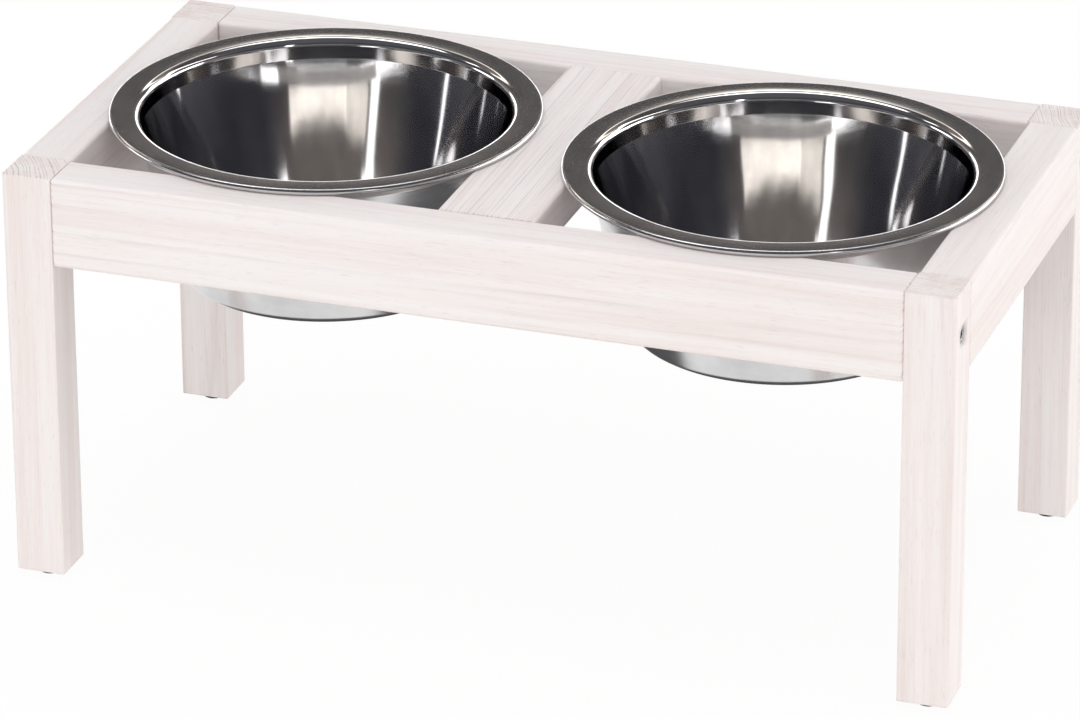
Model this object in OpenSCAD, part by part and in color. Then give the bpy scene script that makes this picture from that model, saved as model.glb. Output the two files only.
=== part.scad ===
// Raised feeder for two bowls: a low open frame of square legs, rails and a crossbar,
// with a flanged steel bowl hanging in each of its two openings.
// Millimetres, +Z up, origin on the floor under the middle of the frame, front towards -Y.

/* [Bowls] */
// Outer diameter of the rolled rim
rim_diameter = 238; // [210:1:280]
// Distance from the collar out to the edge of the rim
flange_width = 16.5; // [13:0.5:22]
// Height of the rolled bead, which carries the flange
bead_height = 3.3; // [2.6:0.1:5]
// Thickness of the steel sheet
sheet = 0.8; // [0.5:0.1:1.1]
// Radius of the rounded lip between flange and collar
lip_radius = 6; // [2:0.5:7]
// Depth of the upright collar below the top of the flange
collar_depth = 12; // [9:0.5:24]
// Radius of the bend from the collar into the tapered wall
crease_radius = 1.25; // [1:0.25:12]
// Depth of the bowl from the top of the flange to its underside
bowl_depth = 94; // [60:1:120]
// Diameter of the flat base
base_diameter = 158; // [120:1:164]
// Radius of the bend from the wall into the base
base_bend = 4; // [3:0.5:22]

/* [Frame] */
// Thickness of the square legs and of the rails between them
stock = 28; // [24:1:40]
// Length of a leg
leg_length = 235; // [140:1:400]
// Height of the four rails
rail_height = 51; // [46:1:80]
// Width of the crossbar between the bowls
crossbar_width = 54; // [46:1:90]
// Thickness of the crossbar
crossbar_thickness = 24; // [16:1:40]
// Radius of the rounded arrises
arris = 2; // [0.5:0.25:4]
// Gap from a bowl's collar to the crossbar
side_gap = 1; // [0.5:0.25:6]
// Gap from a bowl's collar to the front rail and to the back rail
front_gap = 5.5; // [1:0.5:8]
// Distance that a bowl hangs off the middle of its opening, towards the crossbar
bowl_shift = 1.5; // [0:0.25:3]

/* [Feet] */
// Diameter of a foot
foot_diameter = 13; // [11:0.5:26]
// Height of a foot
foot_height = 5; // [4.5:0.25:12]
// Radius of the rounded lower edge of a foot
foot_round = 1.5; // [0.5:0.25:2]
// Diameter of the foot screw
foot_screw_diameter = 3; // [2:0.25:3.5]
// Diameter of the foot screw's head
foot_screw_head = 6; // [4.5:0.25:6.5]
// Height of the foot screw's head
foot_screw_head_height = 2; // [1.5:0.25:2.5]
// Depth of the head below the underside of the foot
foot_screw_sunk = 0.6; // [0.25:0.05:1.5]
// Length of the foot screw in the leg
foot_screw_grip = 16; // [8:1:30]

/* [Bolts] */
// Diameter of the connector bolts
bolt_diameter = 6; // [5:0.5:8]
// Diameter of the bolt's round head
bolt_head_diameter = 11; // [9:0.25:11.5]
// Height of the bolt's head
bolt_head_height = 5.5; // [4.5:0.25:6]
// Width across the flats of the bolt's hexagon socket
bolt_key = 5; // [3:0.5:6]
// Depth of the hexagon socket
bolt_key_depth = 3; // [2:0.25:4]
// Diameter of the recess that the head lies in
bolt_recess_diameter = 12; // [11.75:0.25:14]
// Depth of that recess
bolt_recess_depth = 6.5; // [6:0.5:12]
// Length of the bolt past the barrel nut
bolt_tail = 4; // [1:0.5:10]
// Diameter of the barrel nuts
nut_diameter = 10; // [9:0.5:14]
// Length of the barrel nuts
nut_length = 16; // [10:1:24]
// Distance from the end of the rail to the barrel nut
nut_setback = 32; // [20:1:60]

/* [Dowels] */
// Diameter of the dowels in the end rails and in the crossbar
dowel_diameter = 8; // [6:0.5:10]
// Depth of those dowels in each of the two pieces that they join
dowel_depth = 16; // [10:1:19]
// Distance between the two dowels at the end of an end rail
dowel_pitch = 27; // [25:0.5:32]
// Distance between the two dowels at the end of the crossbar
crossbar_dowel_pitch = 30; // [16:1:34]
// Diameter of the locating dowel beside a bolt
locator_diameter = 6; // [4:0.5:8]
// Depth of the locating dowel in the leg
locator_leg_depth = 8; // [5:0.5:8.5]
// Depth of the locating dowel in the rail
locator_rail_depth = 16; // [8:1:22]
// Distance of the locating dowel below the bolt
locator_drop = 14; // [12:0.5:16]

/* [Fits] */
// Radial gap round a glued dowel
dowel_gap = 0.05; // [0.02:0.01:0.15]
// Gap at the end of a dowel, for glue
glue_gap = 0.5; // [0.2:0.1:1]
// Radial gap round a bolt in the wood
bolt_gap = 0.25; // [0.1:0.05:0.5]
// Radial gap round a barrel nut, and round the bolt in its nut
nut_gap = 0.05; // [0.02:0.01:0.15]
// Radial gap round the foot screw and its head
screw_gap = 0.1; // [0.02:0.02:0.2]
// Gap between a bowl's bead and the wood
seat_gap = 0.3; // [0.2:0.05:0.5]

/* [Hidden] */
$fn = 96;
// Small overshoot of cuts through a face
over = 1;
// Chamfer on the ends of dowels, bolts and nuts
end_chamfer = 0.8;
// Chamfer on the face of a bolt's head
head_chamfer = 0.7;
// Width and depth of the alignment slot in a barrel nut
nut_slot_width = 1.6;
nut_slot_depth = 1.5;
// Largest turn between neighbouring points of a rounded profile, in degrees
turn_step = 18;

collar_radius = rim_diameter / 2 - flange_width;
opening_length = 2 * (collar_radius + side_gap + bowl_shift);
opening_width = 2 * (collar_radius + front_gap);
half_length = crossbar_width / 2 + opening_length + stock;
half_width = opening_width / 2 + stock;
inner_length = half_length - stock;
inner_width = half_width - stock;
leg_x = half_length - stock / 2;
leg_y = half_width - stock / 2;
top_z = foot_height + leg_length;
bolt_z = top_z - rail_height / 2;
locator_z = bolt_z - locator_drop;
crossbar_z = top_z - crossbar_thickness / 2;
bowl_x = crossbar_width / 2 + side_gap + collar_radius;
bolt_length = stock - bolt_recess_depth + nut_setback + nut_diameter / 2 + bolt_tail;
foot_screw_recess = foot_screw_sunk + foot_screw_head_height;

SIDES = [-1, 1];
CORNERS = [[-1, -1], [1, -1], [-1, 1], [1, 1]];

WOOD = "#EDE3DB";
DOWEL_WOOD = "#D8BE96";
STEEL = "#C9C7C4";
ZINC = "#8E8F92";
BLACK = "#1C1C1D";

// Points of a circular arc from one angle to another
function arc(center, radius, from, to) =
    let (steps = max(1, ceil(abs(to - from) / turn_step)))
    [for (i = [0:steps]) let (a = from + (to - from) * i / steps) center + radius * [cos(a), sin(a)]];

function reversed(list) = [for (i = [len(list) - 1:-1:0]) list[i]];

// Rectangle from the origin with rounded corners
function eased_rectangle(w, h) = concat(
    arc([arris, arris], arris, 180, 270),
    arc([w - arris, arris], arris, 270, 360),
    arc([w - arris, h - arris], arris, 0, 90),
    arc([arris, h - arris], arris, 90, 180));

// Piece made for the quarter at +X and +Y, carried to the corner that the signs name
module at_corner(corner) {
    mirror([corner[0] < 0 ? 1 : 0, 0, 0])
        mirror([0, corner[1] < 0 ? 1 : 0, 0])
            children();
}

// Cylinder that points along +X
module along_x(length, diameter) {
    rotate([0, 90, 0])
        cylinder(h = length, d = diameter);
}

// Cylinder that points along +Y
module along_y(length, diameter) {
    rotate([-90, 0, 0])
        cylinder(h = length, d = diameter);
}

// Turned peg along +Z with chamfered ends
module peg(length, diameter) {
    rotate_extrude()
        polygon([[0, 0], [diameter / 2 - end_chamfer, 0], [diameter / 2, end_chamfer],
                 [diameter / 2, length - end_chamfer], [diameter / 2 - end_chamfer, length], [0, length]]);
}

// Leg at +X and +Y: only its outer arris is rounded, because the others meet the rails
module leg_blank() {
    translate([inner_length, inner_width, foot_height])
        linear_extrude(leg_length)
            polygon(concat([[0, 0], [stock, 0]],
                           arc([stock - arris, stock - arris], arris, 0, 90),
                           [[0, stock]]));
}

// Bolt hole and head recess, dowel holes for both rails and the pilot hole of the foot
module leg_holes() {
    translate([inner_length - over, leg_y, bolt_z])
        along_x(stock + 2 * over, bolt_diameter + 2 * bolt_gap);
    translate([half_length - bolt_recess_depth, leg_y, bolt_z])
        along_x(bolt_recess_depth + over, bolt_recess_diameter);
    for (side = SIDES)
        translate([leg_x, inner_width - over, bolt_z + side * dowel_pitch / 2])
            along_y(dowel_depth + glue_gap + over, dowel_diameter + 2 * dowel_gap);
    translate([inner_length - over, leg_y, locator_z])
        along_x(locator_leg_depth + glue_gap + over, locator_diameter + 2 * dowel_gap);
    translate([leg_x, leg_y, foot_height - over])
        cylinder(h = foot_screw_grip + glue_gap + over, d = foot_screw_diameter + 2 * screw_gap);
}

module leg(corner) {
    color(WOOD)
        at_corner(corner)
            difference() {
                leg_blank();
                leg_holes();
            }
}

// Rail between a front leg and a back leg
module end_rail(side) {
    color(WOOD)
        mirror([side < 0 ? 1 : 0, 0, 0])
            difference() {
                translate([inner_length, inner_width, top_z - rail_height])
                    rotate([90, 0, 0])
                        linear_extrude(2 * inner_width)
                            polygon(eased_rectangle(stock, rail_height));
                for (end = SIDES, row = SIDES)
                    mirror([0, end < 0 ? 1 : 0, 0])
                        translate([leg_x, inner_width - dowel_depth - glue_gap, bolt_z + row * dowel_pitch / 2])
                            along_y(dowel_depth + glue_gap + over, dowel_diameter + 2 * dowel_gap);
            }
}

// Holes at the +X end of a long rail: bolt, barrel nut from below, and locating dowel
module rail_end_holes() {
    bolt_hole = nut_setback + nut_diameter / 2 + bolt_tail + glue_gap;
    nut_hole = rail_height / 2 + nut_length / 2;
    translate([inner_length - bolt_hole, leg_y, bolt_z])
        along_x(bolt_hole + over, bolt_diameter + 2 * bolt_gap);
    translate([inner_length - nut_setback, leg_y, top_z - rail_height - over])
        cylinder(h = nut_hole + over, d = nut_diameter + 2 * nut_gap);
    translate([inner_length - locator_rail_depth - glue_gap, leg_y, locator_z])
        along_x(locator_rail_depth + glue_gap + over, locator_diameter + 2 * dowel_gap);
}

// Long rail before drilling, with all its arrises rounded, also round its two ends
module long_rail_blank() {
    translate([-inner_length, inner_width, top_z - rail_height])
        intersection() {
            rotate([90, 0, 90])
                linear_extrude(2 * inner_length)
                    polygon(eased_rectangle(stock, rail_height));
            translate([0, stock, 0])
                rotate([90, 0, 0])
                    linear_extrude(stock)
                        polygon(eased_rectangle(2 * inner_length, rail_height));
            linear_extrude(rail_height)
                polygon(eased_rectangle(2 * inner_length, stock));
        }
}

// Rail between a left leg and a right leg, which also carries one end of the crossbar
module long_rail(side) {
    color(WOOD)
        mirror([0, side < 0 ? 1 : 0, 0])
            difference() {
                long_rail_blank();
                for (end = SIDES)
                    mirror([end < 0 ? 1 : 0, 0, 0])
                        rail_end_holes();
                for (column = SIDES)
                    translate([column * crossbar_dowel_pitch / 2, inner_width - over, crossbar_z])
                        along_y(dowel_depth + glue_gap + over, dowel_diameter + 2 * dowel_gap);
            }
}

module center_crossbar() {
    color(WOOD)
        difference() {
            translate([-crossbar_width / 2, inner_width, top_z - crossbar_thickness])
                rotate([90, 0, 0])
                    linear_extrude(2 * inner_width)
                        polygon(eased_rectangle(crossbar_width, crossbar_thickness));
            for (end = SIDES, column = SIDES)
                mirror([0, end < 0 ? 1 : 0, 0])
                    translate([column * crossbar_dowel_pitch / 2, inner_width - dowel_depth - glue_gap, crossbar_z])
                        along_y(dowel_depth + glue_gap + over, dowel_diameter + 2 * dowel_gap);
        }
}

// Section of the bowl's sheet, from the tip of the rolled bead to the middle of the base.
// Each bend is an arc on the sheet's middle line, and the two skins lie half a sheet to either side.
function bowl_section() =
    let (half_sheet = sheet / 2,
         bead_radius = bead_height / 2,
         bead = [rim_diameter / 2 - bead_radius, bead_radius],
         bead_bend = bead_radius - half_sheet,
         lip_bend = lip_radius - half_sheet,
         collar_middle = collar_radius - half_sheet,
         lip = [collar_middle + lip_bend, bead_height - lip_radius],
         crease = [collar_middle - crease_radius, bead_height - collar_depth],
         base_z = bead_height - bowl_depth,
         base_middle = base_bend - half_sheet,
         base = [base_diameter / 2, base_z + base_bend],
         run = base - crease,
         wall_angle = atan2(run[1], run[0]) + acos((crease_radius - base_middle) / norm(run)))
    concat(
        arc(bead, bead_bend - half_sheet, 180, 450),
        arc(lip, lip_bend - half_sheet, 90, 180),
        arc(crease, crease_radius + half_sheet, 0, wall_angle),
        arc(base, base_middle + half_sheet, wall_angle, -90),
        [[0, base_z], [0, base_z + sheet]],
        reversed(arc(base, base_middle - half_sheet, wall_angle, -90)),
        reversed(arc(crease, crease_radius - half_sheet, 0, wall_angle)),
        reversed(arc(lip, lip_bend + half_sheet, 90, 180)),
        reversed(arc(bead, bead_bend + half_sheet, 180, 450)));

module bowl(side) {
    color(STEEL)
        translate([side * bowl_x, 0, top_z + seat_gap])
            rotate_extrude()
                polygon(bowl_section());
}

// Round foot with a rounded lower edge and a stepped hole for its screw
module foot(corner) {
    foot_radius = foot_diameter / 2;
    screw_hole = foot_screw_diameter / 2 + screw_gap;
    head_hole = foot_screw_head / 2 + screw_gap;
    color(BLACK)
        at_corner(corner)
            translate([leg_x, leg_y, 0])
                rotate_extrude()
                    polygon(concat(
                        [[head_hole, 0]],
                        arc([foot_radius - foot_round, foot_round], foot_round, -90, 0),
                        [[foot_radius, foot_height], [screw_hole, foot_height],
                         [screw_hole, foot_screw_recess], [head_hole, foot_screw_recess]]));
}

// Screws with a flat round head, from below through the feet into the legs
module foot_screws() {
    shank = foot_screw_diameter / 2;
    tip_z = foot_height + foot_screw_grip;
    color(ZINC)
        for (corner = CORNERS)
            at_corner(corner)
                translate([leg_x, leg_y, 0])
                    rotate_extrude()
                        polygon([[0, foot_screw_sunk], [foot_screw_head / 2, foot_screw_sunk],
                                 [foot_screw_head / 2, foot_screw_recess], [shank, foot_screw_recess],
                                 [shank, tip_z - foot_screw_diameter], [0, tip_z]]);
}

// Bolts with a hexagon socket, sunk in the outer faces of the legs
module connector_bolts() {
    color(ZINC)
        for (corner = CORNERS)
            at_corner(corner)
                translate([half_length - bolt_recess_depth, leg_y, bolt_z])
                    difference() {
                        union() {
                            rotate([0, 90, 0])
                                rotate_extrude()
                                    polygon([[0, 0], [bolt_head_diameter / 2, 0],
                                             [bolt_head_diameter / 2, bolt_head_height - head_chamfer],
                                             [bolt_head_diameter / 2 - head_chamfer, bolt_head_height],
                                             [0, bolt_head_height]]);
                            mirror([1, 0, 0])
                                along_x(bolt_length, bolt_diameter);
                        }
                        translate([bolt_head_height - bolt_key_depth, 0, 0])
                            rotate([0, 90, 0])
                                cylinder(h = bolt_key_depth + over, d = bolt_key / cos(30), $fn = 6);
                    }
}

// Cylinder nuts in the long rails, with a cross bore for the bolt and an alignment slot below
module barrel_nuts() {
    color(ZINC)
        for (corner = CORNERS)
            at_corner(corner)
                translate([inner_length - nut_setback, leg_y, bolt_z - nut_length / 2])
                    difference() {
                        peg(nut_length, nut_diameter);
                        translate([-nut_diameter, 0, nut_length / 2])
                            along_x(2 * nut_diameter, bolt_diameter + 2 * nut_gap);
                        translate([-nut_diameter, -nut_slot_width / 2, -over])
                            cube([2 * nut_diameter, nut_slot_width, nut_slot_depth + over]);
                    }
}

module end_rail_dowels() {
    color(DOWEL_WOOD)
        for (corner = CORNERS, row = SIDES)
            at_corner(corner)
                translate([leg_x, inner_width - dowel_depth, bolt_z + row * dowel_pitch / 2])
                    rotate([-90, 0, 0])
                        peg(2 * dowel_depth, dowel_diameter);
}

module locating_dowels() {
    color(DOWEL_WOOD)
        for (corner = CORNERS)
            at_corner(corner)
                translate([inner_length - locator_rail_depth, leg_y, locator_z])
                    rotate([0, 90, 0])
                        peg(locator_rail_depth + locator_leg_depth, locator_diameter);
}

module crossbar_dowels() {
    color(DOWEL_WOOD)
        for (corner = CORNERS)
            at_corner(corner)
                translate([crossbar_dowel_pitch / 2, inner_width - dowel_depth, crossbar_z])
                    rotate([-90, 0, 0])
                        peg(2 * dowel_depth, dowel_diameter);
}

module front_left_leg() { leg([-1, -1]); }
module front_right_leg() { leg([1, -1]); }
module back_left_leg() { leg([-1, 1]); }
module back_right_leg() { leg([1, 1]); }
module left_end_rail() { end_rail(-1); }
module right_end_rail() { end_rail(1); }
module front_rail() { long_rail(-1); }
module back_rail() { long_rail(1); }
module left_bowl() { bowl(-1); }
module right_bowl() { bowl(1); }
module front_left_foot() { foot([-1, -1]); }
module front_right_foot() { foot([1, -1]); }
module back_left_foot() { foot([-1, 1]); }
module back_right_foot() { foot([1, 1]); }

front_left_leg();
front_right_leg();
back_left_leg();
back_right_leg();
left_end_rail();
right_end_rail();
front_rail();
back_rail();
center_crossbar();
left_bowl();
right_bowl();
front_left_foot();
front_right_foot();
back_left_foot();
back_right_foot();
foot_screws();
connector_bolts();
barrel_nuts();
end_rail_dowels();
locating_dowels();
crossbar_dowels();
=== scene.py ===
import math

import bpy
import numpy as np
from mathutils import Euler, Matrix, Vector


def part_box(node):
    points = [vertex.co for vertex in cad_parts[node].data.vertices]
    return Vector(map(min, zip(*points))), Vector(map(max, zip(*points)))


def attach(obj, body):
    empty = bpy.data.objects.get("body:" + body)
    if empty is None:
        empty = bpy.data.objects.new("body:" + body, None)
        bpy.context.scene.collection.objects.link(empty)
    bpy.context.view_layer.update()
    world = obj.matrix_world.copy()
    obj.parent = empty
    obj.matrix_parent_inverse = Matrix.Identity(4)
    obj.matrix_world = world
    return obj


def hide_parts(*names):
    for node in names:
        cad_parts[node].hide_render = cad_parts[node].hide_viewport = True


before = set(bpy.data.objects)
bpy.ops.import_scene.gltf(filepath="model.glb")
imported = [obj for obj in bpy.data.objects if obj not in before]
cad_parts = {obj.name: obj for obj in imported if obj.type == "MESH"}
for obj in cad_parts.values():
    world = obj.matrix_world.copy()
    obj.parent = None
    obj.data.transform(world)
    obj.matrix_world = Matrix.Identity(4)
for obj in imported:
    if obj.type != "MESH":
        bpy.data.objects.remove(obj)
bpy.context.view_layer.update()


# Legs: four square lengths of pine, planed, sanded and washed with thinned white paint. Each is bored from
# its outer end face for a connector bolt, from two sides for dowels and from below for the screw of its
# foot. Only the outer arris is well rounded, because rails meet the other faces.

def skin(rings, start_pole=None, end_pole=None, closed=False):
    """Vertices and faces of a surface given as rings of points, an array by ring, place round it and axis.
    Each point joins the next one of its ring and the same two of the next ring. A pole closes the first or
    the last ring with a fan, and a closed surface joins its last ring to its first. The faces come as one
    array of quads and one of triangles for each fan."""
    count, around, _ = rings.shape
    spans = count if closed else count - 1
    ring, point = np.mgrid[0:spans, 0:around]
    ahead = (point + 1) % around
    above = (ring + 1) % count
    quads = np.stack([ring * around + point, ring * around + ahead,
                      above * around + ahead, above * around + point], -1).reshape(-1, 4)
    faces = [quads]
    vertices = [rings.reshape(-1, 3)]
    here = np.arange(around)
    following = (here + 1) % around
    if start_pole is not None:
        pole = np.full(around, sum(map(len, vertices)))
        vertices.append(np.reshape(start_pole, (1, 3)))
        faces.append(np.stack([pole, following, here], -1))
    if end_pole is not None:
        pole = np.full(around, sum(map(len, vertices)))
        vertices.append(np.reshape(end_pole, (1, 3)))
        last = (count - 1) * around
        faces.append(np.stack([pole, last + here, last + following], -1))
    return np.concatenate(vertices), faces


def add_piece(name, vertices, faces, crease_degrees=32):
    """Object of a surface, smooth but for edges that turn by more than the crease angle."""
    mesh = bpy.data.meshes.new(name)
    mesh.from_pydata(vertices.tolist(), [], [face for block in faces for face in block.tolist()])
    mesh.shade_smooth()
    mesh.set_sharp_from_angle(angle=math.radians(crease_degrees))
    piece = bpy.data.objects.new(name, mesh)
    bpy.context.scene.collection.objects.link(piece)
    return piece


grain_turn = {"X": (0, 1, 2), "Y": (1, 2, 0), "Z": (2, 0, 1)}


def eased_bar(low, high, grain, arrises, end_arris, sway_seed):
    """Bar between two corners. Its section is a rectangle whose four arrises are arcs, each with a radius of
    its own that swells and thins a little along the grain, as sanding leaves it. The section is carried
    along the grain, and at both ends it shrinks along a quarter circle into a flat face."""
    along, wide, deep = grain_turn[grain]
    low = np.array(low)
    high = np.array(high)
    half = (high - low)[[wide, deep]] / 2
    middle = (high + low)[[wide, deep]] / 2
    arc_steps = 5
    support = 0.0004
    sway = 0.14
    corners = np.array([[-1, -1], [1, -1], [1, 1], [-1, 1]])
    ahead = np.array([[1, 0], [0, 1], [-1, 0], [0, -1]])
    behind = np.roll(ahead, 1, axis=0)
    turn = np.radians(180 + 90 * np.arange(4)[:, None] + np.linspace(0, 90, arc_steps + 1))
    out = np.stack([np.cos(turn), np.sin(turn)], -1)
    outward = np.concatenate([out[:, :1], out, out[:, -1:]], 1)
    swing = np.concatenate([-behind[:, None], out - corners[:, None], ahead[:, None]], 1)
    aside = np.zeros_like(swing)
    aside[:, 0] = -behind * support
    aside[:, -1] = ahead * support
    quarter = np.linspace(0, math.pi / 2, arc_steps + 1)
    length = high[along] - low[along]
    station_count = 41
    start = end_arris * (1 - np.cos(quarter))
    body = np.linspace(end_arris + support, length - end_arris - support, station_count)
    station = np.concatenate([start, body, length - start[::-1]])
    inset = np.concatenate([end_arris * (1 - np.sin(quarter)), np.zeros(station_count),
                            end_arris * (1 - np.sin(quarter[::-1]))])
    wave_numbers = (9, 55)
    waves_of_arrises = (4, 3)
    draw = np.random.default_rng(sway_seed)
    waves = draw.uniform(*wave_numbers, waves_of_arrises)
    phases = draw.uniform(0, 2 * math.pi, waves_of_arrises)
    wave = np.sin(station[:, None, None] * waves + phases).mean(-1)
    radius = np.array(arrises) * (1 + sway * wave)
    loop = (corners * half)[None, :, None] + radius[:, :, None, None] * swing + aside
    loop = loop - inset[:, None, None, None] * outward
    loop = loop.reshape(len(station), -1, 2)
    cap_ring = 0.5
    cap = np.array([1 - support / half.min(), cap_ring])[:, None, None]
    loop = np.concatenate([loop[:1] * cap[::-1], loop, loop[-1:] * cap])
    station = np.concatenate([[0, 0], station, [length, length]])
    rings = np.empty(loop.shape[:2] + (3,))
    rings[..., along] = (low[along] + station)[:, None]
    rings[..., wide] = middle[0] + loop[..., 0]
    rings[..., deep] = middle[1] + loop[..., 1]
    poles = np.repeat(((low + high) / 2)[None], 2, 0)
    poles[0, along] = low[along]
    poles[1, along] = high[along]
    return skin(rings, poles[0], poles[1])


def bored(bar, mouth, direction, steps):
    """Takes a round hole out of a bar, from its mouth in a direction. Each step of the hole has a diameter
    and the depth that it ends at: the drill is those steps turned about its axis, from a little outside."""
    over = 0.002
    around = 48
    reach = [-over]
    radii = []
    for diameter, depth in steps:
        reach += [depth, depth]
        radii += [diameter / 2, diameter / 2]
    reach = np.array(reach[:-1])
    radii = np.array(radii)
    axis = Vector(direction)
    turn = np.array(axis.to_track_quat("Z", "Y").to_matrix())
    angle = np.linspace(0, 2 * math.pi, around, endpoint=False)
    local = np.stack([radii[:, None] * np.cos(angle), radii[:, None] * np.sin(angle),
                      np.repeat(reach[:, None], around, 1)], -1)
    place = np.array(mouth)
    poles = place + np.outer([reach[0], reach[-1]], turn[:, 2])
    drill = add_piece("drill", *skin(local @ turn.T + place, poles[0], poles[1]))
    cut = bar.modifiers.new("bore", "BOOLEAN")
    cut.object = drill
    cut.operation = "DIFFERENCE"
    cut.solver = "EXACT"
    shaped = bar.evaluated_get(bpy.context.evaluated_depsgraph_get())
    mesh = bpy.data.meshes.new_from_object(shaped)
    bar.modifiers.clear()
    solid = bar.data
    bar.data = mesh
    bpy.data.meshes.remove(solid)
    tool = drill.data
    bpy.data.objects.remove(drill)
    bpy.data.meshes.remove(tool)


def feed(tree, made, feeds):
    """Gives inputs of a node, by name or number, a value or a link from another node's output."""
    for key, value in feeds.items():
        if isinstance(value, bpy.types.NodeSocket):
            tree.links.new(value, made.inputs[key])
        else:
            made.inputs[key].default_value = value


def add_node(tree, kind, feeds=None, **settings):
    """Node of a kind with its settings, which come first because they can change what inputs it has."""
    made = tree.nodes.new(kind)
    for key, value in settings.items():
        setattr(made, key, value)
    feed(tree, made, feeds or {})
    return made


def figure(tree, operation, *values):
    """Output of a Math node that works an operation on its values."""
    return add_node(tree, "ShaderNodeMath", dict(enumerate(values)), operation=operation).outputs["Value"]


def scaled(tree, value, swing, base):
    """Output of a Math node that multiplies a value by its swing and adds the base."""
    return figure(tree, "MULTIPLY_ADD", value, swing, base)


def arrow(tree, operation, *values):
    """Output of a Vector Math node, a number for LENGTH and DOT_PRODUCT and otherwise a vector."""
    made = add_node(tree, "ShaderNodeVectorMath", dict(enumerate(values)), operation=operation)
    return made.outputs["Value" if operation in ("LENGTH", "DOT_PRODUCT") else "Vector"]


def eased(tree, value, low, high, out_low=0.0, out_high=1.0):
    """Output of a Map Range node that goes smoothly from one value to another between two limits."""
    feeds = {"Value": value, "From Min": low, "From Max": high, "To Min": out_low, "To Max": out_high}
    return add_node(tree, "ShaderNodeMapRange", feeds, interpolation_type="SMOOTHSTEP").outputs["Result"]


def mingled(tree, share, first, second):
    """Output of a colour Mix node, which numbers its share and its two colours 0, 6 and 7, and the mix 2."""
    return add_node(tree, "ShaderNodeMix", {0: share, 6: first, 7: second}, data_type="RGBA").outputs[2]


def speckle(tree, place, stretch, detail, roughness=0.55):
    """Noise whose grain is stretched: so many per metre along each of the three axes."""
    spread = arrow(tree, "MULTIPLY", place, stretch)
    feeds = {"Vector": spread, "Scale": 1.0, "Detail": detail, "Roughness": roughness}
    return add_node(tree, "ShaderNodeTexNoise", feeds).outputs["Fac"]


def paint(code):
    """Colour of a six-digit sRGB code as linear values, by the two branches of the sRGB curve."""
    levels = [int(code[i:i + 2], 16) / 255 for i in (0, 2, 4)]
    return tuple(((v + 0.055) / 1.055) ** 2.4 if v > 0.04045 else v / 12.92 for v in levels) + (1.0,)


def new_group(name, inputs, outputs):
    """Empty shader node group with named sockets, and its input and output nodes."""
    tree = bpy.data.node_groups.new(name, "ShaderNodeTree")
    for way, sockets in (("INPUT", inputs), ("OUTPUT", outputs)):
        for label, kind in sockets.items():
            tree.interface.new_socket(name=label, in_out=way, socket_type="NodeSocket" + kind)
    return tree, tree.nodes.new("NodeGroupInput").outputs, tree.nodes.new("NodeGroupOutput").inputs


# Grain of pine under a thin white wash. Place is measured from the pith, with Z along the grain: growth
# rings are steps of the distance from the pith, and their late wood shows as thin lines. Fibres, broad
# streaks and the cover of the wash are noise drawn out along the grain.
pine_grain, given, made = new_group(
    "pine_grain",
    {"Place": "Vector", "Ring Width": "Float", "Line Strength": "Float", "End Grain": "Float",
     "Rub": "Float"},
    {"Color": "Color", "Roughness": "Float", "Height": "Float"})
tree = pine_grain
place = given["Place"]
wander = speckle(tree, place, stretch=(22, 22, 2.2), detail=2.0)
wander_depth = 0.009
drift = scaled(tree, wander, swing=wander_depth, base=-wander_depth / 2)
across = arrow(tree, "MULTIPLY", place, (1, 1, 0))
distance = figure(tree, "ADD", arrow(tree, "LENGTH", across), drift)
ring = figure(tree, "DIVIDE", distance, given["Ring Width"])
uneven = add_node(tree, "ShaderNodeTexNoise", {"W": ring, "Scale": 0.37, "Detail": 1.0},
                  noise_dimensions="1D").outputs["Fac"]
ring = scaled(tree, uneven, swing=2.2, base=ring)
year = figure(tree, "FLOOR", ring)
season = figure(tree, "FRACT", ring)
vigour = add_node(tree, "ShaderNodeTexWhiteNoise", {"W": year}, noise_dimensions="1D")
vigour = eased(tree, vigour.outputs["Value"], low=0.0, high=1.0, out_low=0.25, out_high=1.0)
late = add_node(tree, "ShaderNodeValToRGB", {"Fac": season})
stops = late.color_ramp.elements
stops[0].color = (0, 0, 0, 1)
stops[1].position = 1.0
stops[1].color = (0, 0, 0, 1)
late_levels = {0.55: 0.08, 0.82: 0.75, 0.92: 1.0}
for position, level in late_levels.items():
    stops.new(position).color = (level, level, level, 1)
broken = speckle(tree, place, stretch=(260, 260, 11), detail=3.0)
broken = eased(tree, broken, low=0.36, high=0.64, out_low=0.12, out_high=1.0)
late_wood = figure(tree, "MULTIPLY", late.outputs["Color"], vigour)
late_wood = figure(tree, "MULTIPLY", late_wood, broken)
crisp = eased(tree, season, low=0.70, high=0.86)
crisp = figure(tree, "MULTIPLY", crisp, eased(tree, season, low=1.0, high=0.92))
fibre = speckle(tree, place, stretch=(1500, 1500, 26), detail=3.0, roughness=0.6)
streak = speckle(tree, place, stretch=(75, 75, 1.6), detail=3.0)
cover = speckle(tree, place, stretch=(240, 240, 7), detail=4.0, roughness=0.6)
canal = speckle(tree, place, stretch=(1900, 1900, 110), detail=2.0)
early_warm = paint("F0E2DE")
early_pale = paint("F8F1EF")
late_brown = paint("B8A69F")
wash_white = paint("FAF7F7")
wood = mingled(tree, eased(tree, streak, low=0.34, high=0.66), early_warm, early_pale)
fibre_dark = eased(tree, fibre, low=0.40, high=0.78, out_low=0.0, out_high=0.16)
long_line = figure(tree, "MULTIPLY", late_wood, given["Line Strength"])
end_line = eased(tree, broken, low=0.0, high=1.0, out_low=0.45, out_high=1.0)
end_line = figure(tree, "MULTIPLY", crisp, end_line)
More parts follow.
